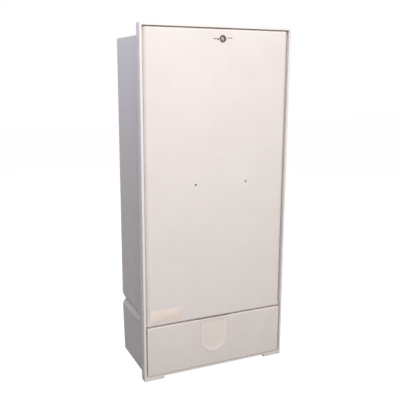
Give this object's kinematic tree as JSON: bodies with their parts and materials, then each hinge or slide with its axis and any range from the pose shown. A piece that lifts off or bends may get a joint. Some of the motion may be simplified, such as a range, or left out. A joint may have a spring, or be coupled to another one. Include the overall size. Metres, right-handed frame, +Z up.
{
  "type": "roadside utility cabinet",
  "caption": "Tall moulded roadside utility cabinet: rear tub, front frame on feet, tilting door with a triangular key lock, lower panel with a U cable passage, low voltage gear inside.",
  "frame": {"origin": "middle of the footprint on the ground", "axes": "+Z up, +Y to the back, door faces -Y, +X to the right seen from the front"},
  "size_m": [0.49, 0.266, 1.08],
  "materials": {
    "moulding": "satin moulded polyester",
    "plug": "satin",
    "label": "matt",
    "pocket": "satin",
    "rivet": "weathered",
    "lock_zinc": "dark passivated",
    "lock_core": "satin",
    "steel": "zinc plated",
    "galvanised": "galvanised",
    "copper": "bare copper",
    "contact": "silver plated",
    "clamp": "tinned",
    "insulator": "moulded resin",
    "black_plastic": "moulded",
    "lid_plastic": "moulded",
    "ceramic": "glazed"
  },
  "bodies": {
    "cabinet": {"rear_tub": "moulding", "front_frame": "moulding", "frame_web": "moulding", "lower_panel": "moulding", "cable_shutter": "moulding", "side_plugs": "plug", "frame_screws": "steel", "lock_keeper": "steel", "keeper_rivets": "steel", "panel_screws": "steel", "rail_bolts": "steel", "busbar_bolts": "steel", "neutral_bar": "copper", "neutral_clamps": "clamp", "incoming_clamps": "clamp", "earth_bar": "copper", "earth_spacers": "steel", "earth_bolts": "steel", "earth_clamps": "clamp", "cable_rail": "galvanised", "cable_saddles": "black_plastic", "mounting_rail_left": "galvanised", "mounting_rail_right": "galvanised", "insulators_left": "insulator", "insulators_right": "insulator", "cable_arm_left": "galvanised", "cable_arm_right": "galvanised", "busbar_1": "copper", "strip_base_1": "black_plastic", "contact_jaws_1": "contact", "outgoing_clamps_1": "clamp", "busbar_2": "copper", "strip_base_2": "black_plastic", "contact_jaws_2": "contact", "outgoing_clamps_2": "clamp", "busbar_3": "copper", "strip_base_3": "black_plastic", "contact_jaws_3": "contact", "outgoing_clamps_3": "clamp"},
    "door": {"door_panel": "moulding", "label_plate": "label", "document_pocket": "pocket", "pocket_rivets": "rivet", "lock_housing": "lock_zinc", "lock_nut": "lock_zinc", "hinge_pins": "steel"},
    "lock": {"lock_core": "lock_core", "lock_cam": "steel", "cam_screw": "steel"},
    "lid_1": {"fuse_lid_1": "lid_plastic", "fuse_bodies_1": "ceramic", "fuse_blades_1": "contact"},
    "lid_2": {"fuse_lid_2": "lid_plastic", "fuse_bodies_2": "ceramic", "fuse_blades_2": "contact"},
    "lid_3": {"fuse_lid_3": "lid_plastic", "fuse_bodies_3": "ceramic", "fuse_blades_3": "contact"}
  },
  "joints": [
    {"name": "door_tilt", "type": "hinge", "parent": "cabinet", "child": "door", "pos_m": [0, -0.127, 0.1835], "axis": [1, 0, 0], "range_deg": [0, 101]},
    {"name": "lock_turn", "type": "hinge", "parent": "door", "child": "lock", "pos_m": [0.0112, -0.12, 1.0383], "axis": [0, 1, 0], "range_deg": [0, 90]},
    {"name": "lid_1_pull", "type": "slide", "parent": "cabinet", "child": "lid_1", "axis": [0, -1, 0], "range_m": [0, 0.045]},
    {"name": "lid_2_pull", "type": "slide", "parent": "cabinet", "child": "lid_2", "axis": [0, -1, 0], "range_m": [0, 0.045]},
    {"name": "lid_3_pull", "type": "slide", "parent": "cabinet", "child": "lid_3", "axis": [0, -1, 0], "range_m": [0, 0.045]}
  ]
}
